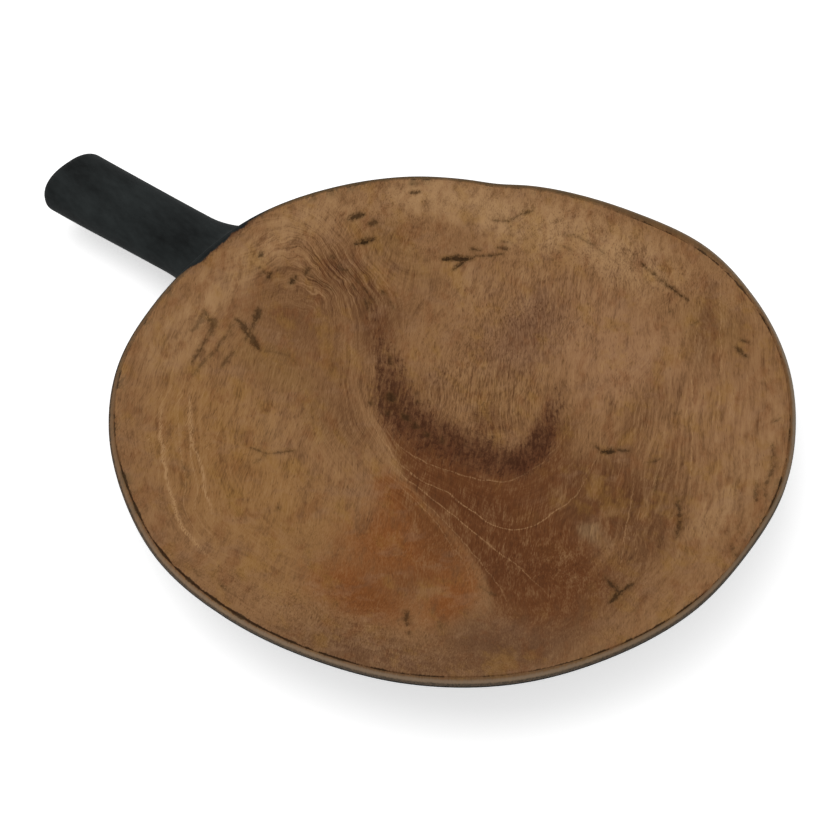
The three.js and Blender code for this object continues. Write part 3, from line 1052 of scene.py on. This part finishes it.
class Number:
    """A number that varies over a surface. Arithmetic on it adds nodes to its material."""

    def __init__(self, shader, socket):
        self.shader = shader
        self.socket = socket

    def __add__(self, other):
        return self.shader.maths("ADD", self, other)

    __radd__ = __add__

    def __sub__(self, other):
        return self.shader.maths("SUBTRACT", self, other)

    def __rsub__(self, other):
        return self.shader.maths("SUBTRACT", other, self)

    def __mul__(self, other):
        return self.shader.maths("MULTIPLY", self, other)

    def __abs__(self):
        return self.shader.maths("ABSOLUTE", self)

    def stretch(self, low, high, new_low, new_high, curve="LINEAR"):
        """The range low to high drawn out to the new one, and held at its ends."""
        node = self.shader.add("ShaderNodeMapRange", interpolation_type=curve)
        self.shader.feed_all(node, {"Value": self, "From Min": low, "From Max": high,
                                    "To Min": new_low, "To Max": new_high})
        return Number(self.shader, node.outputs["Result"])

    def fade(self, low, high):
        """0 at low and 1 at high, smoothly."""
        return self.stretch(low, high, 0, 1, "SMOOTHSTEP")

    def spread(self, low, high):
        """0 to 1 drawn out to low to high."""
        return self.stretch(0, 1, low, high)

    def centred(self, amount):
        """A noise's middle range drawn out to -amount to amount."""
        return self.stretch(NOISE_LOW, NOISE_HIGH, -amount, amount)


class Shader:
    """The node tree of a material or a world, with short calls for the nodes used here."""

    def __init__(self, owner, surface="Principled BSDF"):
        owner.use_nodes = True
        self.owner = owner
        self.tree = owner.node_tree
        self.surface = self.tree.nodes[surface]
        self.colour = None
        self.grain = None

    def add(self, kind, **settings):
        node = self.tree.nodes.new(kind)
        for name, value in settings.items():
            setattr(node, name, value)
        return node

    def feed(self, socket, value):
        """Links a socket to a number or to another socket, or sets it to a plain value."""
        if isinstance(value, Number):
            value = value.socket
        if isinstance(value, bpy.types.NodeSocket):
            self.tree.links.new(value, socket)
        else:
            socket.default_value = value

    def feed_all(self, node, values):
        for name, value in values.items():
            self.feed(node.inputs[name], value)

    def finish(self, **values):
        """Feeds the surface's own inputs, whose names are given with _ for each space."""
        for name, value in values.items():
            self.feed(self.surface.inputs[name.replace("_", " ")], value)

    def maths(self, operation, first, second=0.0):
        node = self.add("ShaderNodeMath", operation=operation)
        self.feed(node.inputs[0], first)
        self.feed(node.inputs[1], second)
        return Number(self, node.outputs[0])

    def vector(self, operation, *values):
        node = self.add("ShaderNodeVectorMath", operation=operation)
        for socket, value in zip(node.inputs, values):
            self.feed(socket, value)
        return node.outputs["Vector"]

    def number(self, name):
        """One of the mesh's fields."""
        return Number(self, self.add("ShaderNodeAttribute", attribute_name=name).outputs["Fac"])

    def blend(self, share, first, second):
        node = self.add("ShaderNodeMix", data_type="RGBA")
        self.feed_all(node, {"Factor": share, "A": first, "B": second})
        return node.outputs["Result"]

    def paint(self, share, colour):
        """Lays a colour written 0 to 255 over the colour so far."""
        self.colour = self.blend(share, self.colour, rgba(colour))

    def place(self, turn, sizes, start=None):
        """Places turned about +Z by degrees, then counted in cells of these sizes in millimetres."""
        rotate = self.add("ShaderNodeVectorRotate", rotation_type="Z_AXIS")
        start = start or self.add("ShaderNodeTexCoord").outputs["Object"]
        self.feed_all(rotate, {"Vector": start, "Angle": math.radians(turn)})
        return self.vector("DIVIDE", rotate.outputs["Vector"], [size * MM for size in sizes])

    def noise(self, place, detail=2.0, roughness=0.5, output=0):
        node = self.add("ShaderNodeTexNoise")
        self.feed_all(node, {"Vector": place, "Scale": 1, "Detail": detail, "Roughness": roughness})
        return Number(self, node.outputs[output])

    def lean_grain(self, bend, cell):
        """Pushes the grain's places about by a slow noise, as fibres lean one way and the other."""
        place = self.add("ShaderNodeTexCoord").outputs["Object"]
        slow = self.noise(self.vector("DIVIDE", place, [cell * MM] * 3), output="Color")
        self.grain = self.vector("MULTIPLY_ADD", slow, [bend * MM] * 3, place)

    def along_grain(self, length, width, detail, roughness=0.5, turn=0):
        """Noise drawn out along the grain, this long and wide in millimetres, turned by degrees."""
        place = self.place(turn - GRAIN_TURN, (length, width, width), self.grain)
        return self.noise(place, detail, roughness)

    def ring_noise(self, ring, lines, length):
        """Noise drawn out along the growth rings: so many lines to a ring, this long in millimetres."""
        split = self.add("ShaderNodeSeparateXYZ")
        self.feed(split.inputs[0], self.place(0, (length, length, length)))
        join = self.add("ShaderNodeCombineXYZ")
        for socket, value in zip(join.inputs, (ring * lines, split.outputs[0], split.outputs[1])):
            self.feed(socket, value)
        return self.noise(join.outputs[0], 3, 0.55)

    def bump(self, height, depth):
        """Sends a height from 0 to 1, that many millimetres deep, to the surface's normal."""
        node = self.add("ShaderNodeBump")
        self.feed_all(node, {"Distance": depth * MM, "Height": height})
        self.finish(Normal=node.outputs["Normal"])

    def seen_directly(self):
        """1 for camera, glossy and transmission rays, and 0 for the rays that light things."""
        rays = self.add("ShaderNodeLightPath").outputs
        sharp = self.maths("MAXIMUM", rays["Is Camera Ray"], rays["Is Glossy Ray"])
        return self.maths("MAXIMUM", sharp, rays["Is Transmission Ray"])


def rgba(colour):
    """A colour written 0 to 255 on screen, as linear light."""
    share = np.asarray(colour, float) / 255
    light = np.where(share <= 0.04045, share / 12.92, ((share + 0.055) / 1.055) ** 2.4)
    return (*light, 1)


GRAIN_TURN = 120
DEEP_FIBRE = (66, 36, 19)
PALE_FIBRE = (186, 146, 102)
PORE_BROWN = (72, 42, 24)
HORSESHOE_BROWN = (83, 47, 30)
HORSESHOE_SPOT = (52, 25, 13)
PALE_RING = (176, 136, 94)
# Growth rings that show pale: their numbers and half widths, in rings.
PALE_RING_LINES = [(30.4, 0.08), (36.6, 0.18), (35.2, 0.1)]
RUST_CAST = (122, 74, 42)
PINK_CAST = (144, 108, 80)
GOLD_CAST = (148, 108, 54)
# Casts of colour that come and go: colour, turn, size of the clouds in millimetres and share.
CASTS = [(GOLD_CAST, 30, 15, 0.4), (PINK_CAST, -50, 12, 0.3), (RUST_CAST, -120, 10, 0.35)]
MARK_BLACK = (36, 22, 9)
MARK_HALO = (88, 62, 34)
CREASE_BROWN = (46, 28, 16)
# Olive serves both the lip's grime and the painted shade at the well's edge.
EDGE_OLIVE = (84, 66, 44)
EDGE_GREY = (134, 118, 100)
FRINGE_BROWN = (82, 50, 31)
STAIN_BLACK = (33, 36, 36)
DOWEL_BROWN = (186, 150, 104)
DOWEL_PALE = (214, 182, 136)
GLOSS = 0.04


def platter_wood():
    """Bare wood with its figure and some painted light and shade, and the black stain that covers the
    outside.
    """
    s = Shader(bpy.data.materials.new("teak_and_black_stain"))
    s.lean_grain(14, 75)
    streaks = s.along_grain(26, 5, 4, 0.6)
    blotches = s.along_grain(15, 9, 4, 0.6)
    fibre = s.along_grain(20, 0.9, 3, 0.6)
    fine = s.along_grain(4.5, 0.55, 2)
    strands = s.along_grain(16, 1.5, 2, 0.6)
    ragged = s.along_grain(3, 1, 3, 0.7)

    base_tones(s, streaks, blotches, ragged)
    grain_lines(s, streaks, blotches, fibre, fine, strands)
    horseshoe_lines(s, streaks, strands, ragged)
    pores = pore_lines(s)
    dark_marks(s, ragged)
    stained, black_roughness = lip_and_stain(s, blotches, ragged)
    s.finish(Base_Color=s.colour, Specular_IOR_Level=GLOSS,
             Roughness=streaks.spread(0.55, 0.85) * (1 - stained) + black_roughness * stained)
    s.bump(fibre.spread(0, 0.5) - pores * 0.4, 0.12)
    return s.owner


def base_tones(s, streaks, blotches, ragged):
    """The broad tones, painted light and shade among them, with edges feathered along the grain."""
    s.colour = rgba(TAN)
    feather = streaks.centred(0.16) + blotches.centred(0.12) + ragged.centred(0.06)
    for name, (tone, _) in TONES.items():
        cover = s.number(f"tone_{name}")
        s.paint((cover + feather * cover.fade(0, 0.2)).fade(0.05, 0.95), tone)
    undarkened = 1.1 - s.number("tone_dark")
    for cast, turn, size, share in CASTS:
        cloud = s.noise(s.place(turn, (size * 1.6, size, size)), 4, 0.6)
        s.paint(cloud.fade(0.5, 0.68) * undarkened * share, cast)


def grain_lines(s, streaks, blotches, fibre, fine, strands):
    """Light and dark along the fibres and along the growth rings."""
    wobble = s.noise(s.place(0, (13, 10, 10)))
    sway = s.noise(s.place(0, (34, 34, 34)), 1)
    waviness = s.number("waviness")
    ring = s.number("ring") + wobble.centred(0.6) * waviness + sway.centred(0.12)
    thin_rings = s.ring_noise(ring, 3.6, 20).centred(0.42) * waviness.spread(1, 1.7)
    broad_rings = s.ring_noise(ring, 0.9, 60).centred(0.4)
    ring_share = s.number("ring_lines") + waviness * 0.1
    pores = s.number("pores")
    light = ((fibre.centred(0.36) + fine.centred(0.36)) * pores.spread(0.5, 1)
             + streaks.centred(0.24) + blotches.centred(0.25) + strands.centred(0.42) * pores
             + (thin_rings + broad_rings) * ring_share)
    s.paint(light * 0.5, PALE_FIBRE)
    s.paint(light * -0.85, DEEP_FIBRE)

    broken = fine.fade(0.36, 0.56)
    for number, half_width in PALE_RING_LINES:
        line = 1 - abs(ring - number).fade(half_width * 0.2, half_width)
        s.paint(line * s.number("pale_rings") * broken * 0.6, PALE_RING)
    for index, (half_width, _) in enumerate(PALE_LINES):
        line = 1 - abs(s.number(f"pale_line_{index}") + wobble.centred(0.9)).fade(0, half_width)
        s.paint(line * s.number(f"pale_strength_{index}") * broken * streaks.spread(0.3, 1.1), PALE_RING)

    hairs = s.along_grain(70, 1.1, 0, turn=8)
    s.paint(hairs.fade(0.72, 0.78) * s.number("scratches") * streaks.fade(0.4, 0.6) * 0.5, PALE_FIBRE)


def horseshoe_lines(s, streaks, strands, ragged):
    """The dark horseshoe: a browned band with edges drawn out along the grain, crowded with flecks."""
    band = s.number("horseshoe")
    edge = strands.centred(0.3) + ragged.centred(0.16) + streaks.centred(0.2)
    drawn = band + edge * band.fade(0, 0.35)
    s.paint(drawn.fade(0, 1.1) * 0.75, HORSESHOE_BROWN)
    flecks = (drawn * 0.2 + s.along_grain(4, 1.8, 2, 0.6)).fade(0.6, 0.9)
    clots = (drawn * 0.22 + s.along_grain(7, 5, 4, 0.75)).fade(0.62, 0.86)
    s.paint(s.maths("MAXIMUM", flecks, clots) * band.fade(0.02, 0.3) * 0.7, HORSESHOE_SPOT)


def pore_lines(s):
    """Open pores, as short dark dashes along the grain."""
    dashes = s.along_grain(6, 0.85, 1)
    cover = (dashes + s.number("pores").spread(-0.12, 0.03)).fade(0.54, 0.68)
    s.paint(cover * 0.42, PORE_BROWN)
    return cover


def dark_marks(s, ragged):
    """Knots and checks, each dark at its heart and hazy brown round its ragged edge."""
    patchy = s.noise(s.place(0, (4, 4, 4)), 4, 0.65)
    darkness = s.number("mark_darkness")
    edge = s.number("mark_outside") + ragged.centred(1.0) + patchy.centred(1.4)
    s.paint((1 - edge.fade(-0.8, 2.6)) * darkness * patchy.spread(0.3, 0.9), MARK_HALO)
    s.paint((1 - edge.fade(-1.4, 0.5)) * darkness * patchy.spread(0.4, 1.3), MARK_BLACK)


def lip_and_stain(s, blotches, ragged):
    """The crease inside the lip, the painted shade at the well's edge, the grimy lip, and the black stain
    past its outer edge.
    """
    offset = s.number("crease_offset") + ragged.centred(0.3)
    shade = s.number("crease_shade") + blotches.centred(0.75)
    s.paint((shade - abs(offset)).fade(0, 0.5) * 0.9, CREASE_BROWN)
    # Painted shade: the well's edge darkens to olive, in blotches, over the last 7 mm up to the crease.
    shade_blotches = (blotches + ragged.centred(0.15)).fade(0.48, 0.66)
    s.paint(offset.fade(-7, 0.5) * s.number("well_edge_shade") * shade_blotches * 0.7, EDGE_OLIVE)
    s.paint(offset.fade(-0.4, 1.2) * s.number("lip_grime") * blotches.spread(0.4, 1.4), EDGE_OLIVE)
    stain = s.number("stain")
    s.paint((stain + ragged.centred(0.4)).fade(-2.8, -1) * s.number("lip_wear"), EDGE_GREY)
    lap = s.number("handle_lap")
    fringe = (stain + blotches.centred(1.4) + ragged.centred(0.8)).fade(-3.6, 0)
    s.paint(fringe * lap * 0.8, FRINGE_BROWN)
    uneven = (ragged.centred(0.3) + s.noise(s.place(0, (16, 16, 16)), 1).centred(1.6)) * lap
    stained = (stain + ragged.centred(0.2) + uneven).fade(-0.6, 0.4)
    black, black_roughness = stain_finish(s)
    s.colour = s.blend(stained, s.colour, black)
    return stained, black_roughness


def stain_finish(s):
    """The black stain's colour and roughness, alike on the dish and the grip."""
    cloud = s.noise(s.place(10, (60, 20, 26)), 3)
    rubbed = s.noise(s.place(15, (9, 4, 4)), 4, 0.6)
    shade = s.add("ShaderNodeVectorMath", operation="SCALE")
    s.feed(shade.inputs[0], rgba(STAIN_BLACK)[:3])
    s.feed(shade.inputs["Scale"], 1 + cloud.centred(0.5) + rubbed.centred(0.22))
    return shade.outputs["Vector"], cloud.spread(0.5, 0.8)


def black_stained_wood():
    """The grip's matte black stain over straight grain."""
    s = Shader(bpy.data.materials.new("black_stained_grip"))
    black, roughness = stain_finish(s)
    s.finish(Base_Color=black, Roughness=roughness, Specular_IOR_Level=GLOSS)
    s.bump(s.noise(s.place(0, (34, 1.1, 1.1)), 4, 0.6), 0.1)
    return s.owner


def dowel_wood():
    """Plain turned hardwood, with fine grain along the dowel."""
    s = Shader(bpy.data.materials.new("dowel_hardwood"))
    grain = s.noise(s.place(0, (18, 0.5, 0.5)), 3, 0.6)
    colour = s.blend(grain, rgba(DOWEL_BROWN), rgba(DOWEL_PALE))
    s.finish(Base_Color=colour, Roughness=grain.spread(0.65, 0.8))
    s.bump(grain, 0.05)
    return s.owner


# Stage

FLOOR_LIFT = 0.47
FLOOR_DROP = 0.0002
AMBIENT = 0.53
WHITE = (1, 1, 1, 1)
FLOOR_GREY = (0.8, 0.8, 0.8, 1)


def make_floor():
    half = 4
    mesh = bpy.data.meshes.new("floor")
    corners = [(-half, -half, 0), (half, -half, 0), (half, half, 0), (-half, half, 0)]
    mesh.from_pydata(corners, [], [(0, 1, 2, 3)])
    floor = bpy.data.objects.new("floor", mesh)
    floor.location.z = -FLOOR_DROP
    bpy.context.scene.collection.objects.link(floor)
    s = Shader(bpy.data.materials.new("pale_floor"))
    seen = s.seen_directly()
    s.finish(Roughness=1, Specular_IOR_Level=0, Base_Color=s.blend(seen, FLOOR_GREY, WHITE),
             Emission_Color=WHITE, Emission_Strength=seen * FLOOR_LIFT)
    mesh.materials.append(s.owner)


def make_world():
    s = Shader(bpy.data.worlds.new("studio"), "Background")
    s.finish(Color=WHITE, Strength=s.seen_directly().spread(AMBIENT, 1))
    bpy.context.scene.world = s.owner


def make_lamp(name, place, size, power):
    """A square soft light that faces the middle of the platter."""
    lamp = bpy.data.lights.new(name, "AREA")
    lamp.shape = "SQUARE"
    lamp.size = size
    lamp.energy = power
    holder = bpy.data.objects.new(name, lamp)
    holder.location = place
    holder.rotation_euler = (-Vector(place)).to_track_quat("-Z", "Y").to_euler()
    bpy.context.scene.collection.objects.link(holder)


# Camera

CAMERA_AZIMUTH = 37
CAMERA_ELEVATION = 48
CAMERA_DISTANCE = 0.85
CAMERA_TARGET = (-0.0008, -0.0307, 0.05)
IMAGE_SIDE = 840
FOCAL_PIXELS = 1478.9
SENSOR_WIDTH = 36


def make_camera():
    azimuth = math.radians(CAMERA_AZIMUTH)
    elevation = math.radians(CAMERA_ELEVATION)
    back = Vector((math.sin(azimuth) * math.cos(elevation), -math.cos(azimuth) * math.cos(elevation),
                   math.sin(elevation)))
    camera = bpy.data.cameras.new("camera")
    camera.sensor_width = SENSOR_WIDTH
    camera.lens = FOCAL_PIXELS * SENSOR_WIDTH / IMAGE_SIDE
    holder = bpy.data.objects.new("camera", camera)
    holder.location = Vector(CAMERA_TARGET) + back * CAMERA_DISTANCE
    holder.rotation_euler = (math.pi / 2 - elevation, 0, azimuth)
    bpy.context.scene.collection.objects.link(holder)
    bpy.context.scene.camera = holder


make_camera()
make_world()
make_floor()
make_lamp("key_light", (-0.5, -0.3, 1.6), 1.6, 9.5)
make_lamp("front_light", (0.9, -1.3, 1.1), 1.4, 6)
bpy.context.scene.view_settings.view_transform = "Standard"

# Assembly

SHARP_ANGLE = math.radians(50)

dish = build_dish()
refine_marks(dish.data)
work_surfaces(dish.data)
keep_to_packed_box(dish.data)
write_fields(dish.data)
dish.data.set_sharp_from_angle(angle=SHARP_ANGLE)
dish.data.materials.clear()
dish.data.materials.append(platter_wood())
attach(dish, BODY)
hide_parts("platter_dish")

handle = build_handle()
handle.data.set_sharp_from_angle(angle=SHARP_ANGLE)
handle.data.materials.clear()
handle.data.materials.append(black_stained_wood())
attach(handle, BODY)
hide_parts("handle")

dowel_material = dowel_wood()
for side in ("near", "far"):
    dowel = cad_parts[f"handle_dowel_{side}"]
    dowel.data.materials.clear()
    dowel.data.materials.append(dowel_material)
